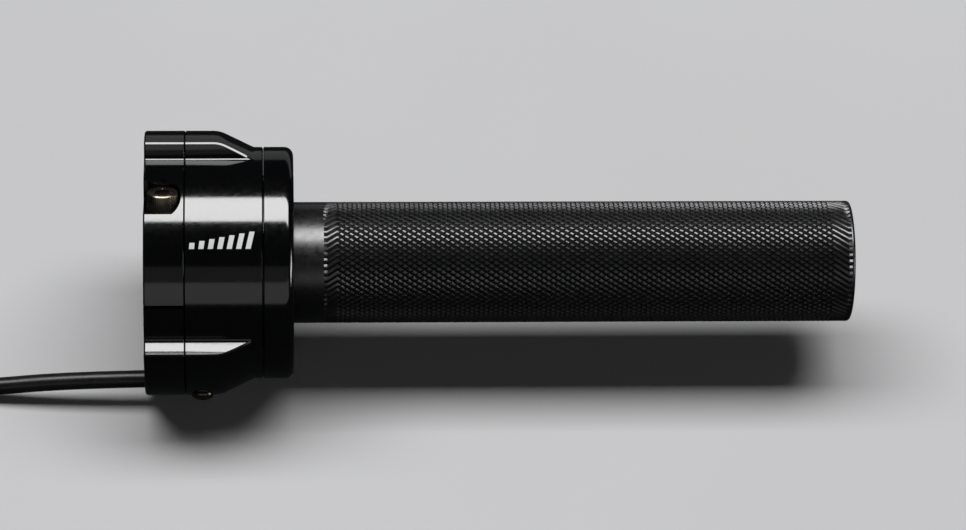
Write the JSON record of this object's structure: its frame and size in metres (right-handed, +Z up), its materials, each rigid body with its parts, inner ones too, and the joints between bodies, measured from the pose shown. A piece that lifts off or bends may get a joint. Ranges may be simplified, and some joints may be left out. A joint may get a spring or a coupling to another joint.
{
  "type": "electronic twist throttle",
  "caption": "Twist throttle grip: split bar clamp, lobed housing with magnetic sensor, end collar, sprung knurled metal grip tube and a thin signal cable with plug.",
  "frame": {"origin": "on the handlebar axis, in the inboard face of the clamp", "axes": "+X along the bar to its outboard end, +Y forward, +Z up, as fitted on the right-hand side of the bar"},
  "size_m": [0.3219, 0.0752, 0.0567],
  "materials": {
    "black_anodised": "gloss black anodised, turned and knurled",
    "bare_aluminium": "fine turned",
    "steel_screw": "machined and knurled head",
    "black_oxide_steel": "black oxide",
    "spring_steel": "drawn wire",
    "magnet_plating": "nickel plated",
    "acetal": "turned acetal",
    "black_plastic": "moulded",
    "board_laminate": "solder mask",
    "lead_insulation": "extruded",
    "black_rubber": "moulded",
    "cable_jacket": "smooth extruded jacket with a soft sheen",
    "terminal_brass": "stamped"
  },
  "bodies": {
    "throttle_body": {"clamp_cap": "black_anodised", "clamp_base": "black_anodised", "housing_body": "black_anodised", "end_collar": "black_anodised", "clamp_screws": "steel_screw", "clamp_base_screws": "black_oxide_steel", "collar_screws": "black_oxide_steel", "sensor_holder_screw": "steel_screw", "stop_pin": "steel_screw", "return_spring": "spring_steel", "collar_bush": "acetal", "outer_thrust_washer": "acetal", "inner_thrust_washer": "acetal", "sensor_holder": "black_plastic", "sensor_board": "board_laminate", "hall_sensors": "black_plastic", "sensor_leads": "lead_insulation", "collar_o_ring": "black_rubber", "tube_wiper_seal": "black_rubber", "cable_grommet": "black_rubber", "connector_seal": "black_rubber", "cable_lead_in": "cable_jacket", "throttle_cable": "cable_jacket", "cable_coil": "cable_jacket", "cable_tail": "cable_jacket", "coil_tie": "black_plastic", "connector_body": "black_plastic", "connector_terminals": "terminal_brass"},
    "twist_grip": {"grip_tube": "black_anodised", "rotor_ring": "bare_aluminium", "rotor_grub_screws": "black_oxide_steel", "rotor_magnets": "magnet_plating", "inboard_bar_bush": "acetal", "outboard_bar_bush": "acetal"}
  },
  "joints": [
    {"name": "throttle_twist", "type": "hinge", "parent": "throttle_body", "child": "twist_grip", "pos_m": [0.03, 0, 0], "axis": [1, 0, 0], "range_deg": [0, 70], "stiffness_Nm_per_rad": 0.25, "springref_deg": -34.38, "deforming": ["return_spring"]}
  ]
}
